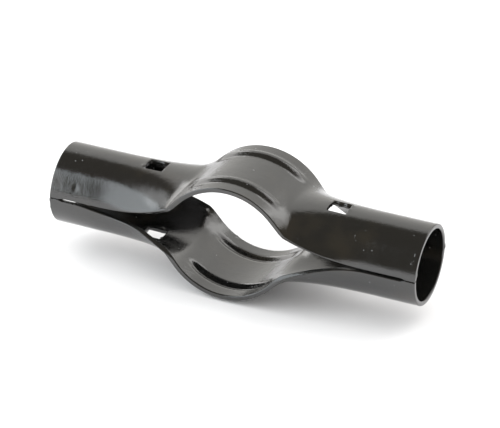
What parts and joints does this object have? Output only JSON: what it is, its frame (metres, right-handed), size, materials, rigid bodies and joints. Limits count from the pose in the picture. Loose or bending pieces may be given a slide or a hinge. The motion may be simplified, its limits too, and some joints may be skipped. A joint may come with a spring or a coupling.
{
  "type": "fence line rail clamp",
  "caption": "Two pressed steel halves with beaded straps that close round a fence post, with half-round cups and square bolt holes for the rails on each side.",
  "frame": {"origin": "where the rail axis crosses the post axis, halfway between the two halves", "axes": "+X along the rails, +Y along the post, +Z through the bolt holes towards the upper half"},
  "size_m": [0.1908, 0.0546, 0.0616],
  "materials": {
    "black_paint": "gloss black dipped paint"
  },
  "bodies": {
    "root": {"upper_half": "black_paint", "lower_half": "black_paint"}
  },
  "joints": []
}
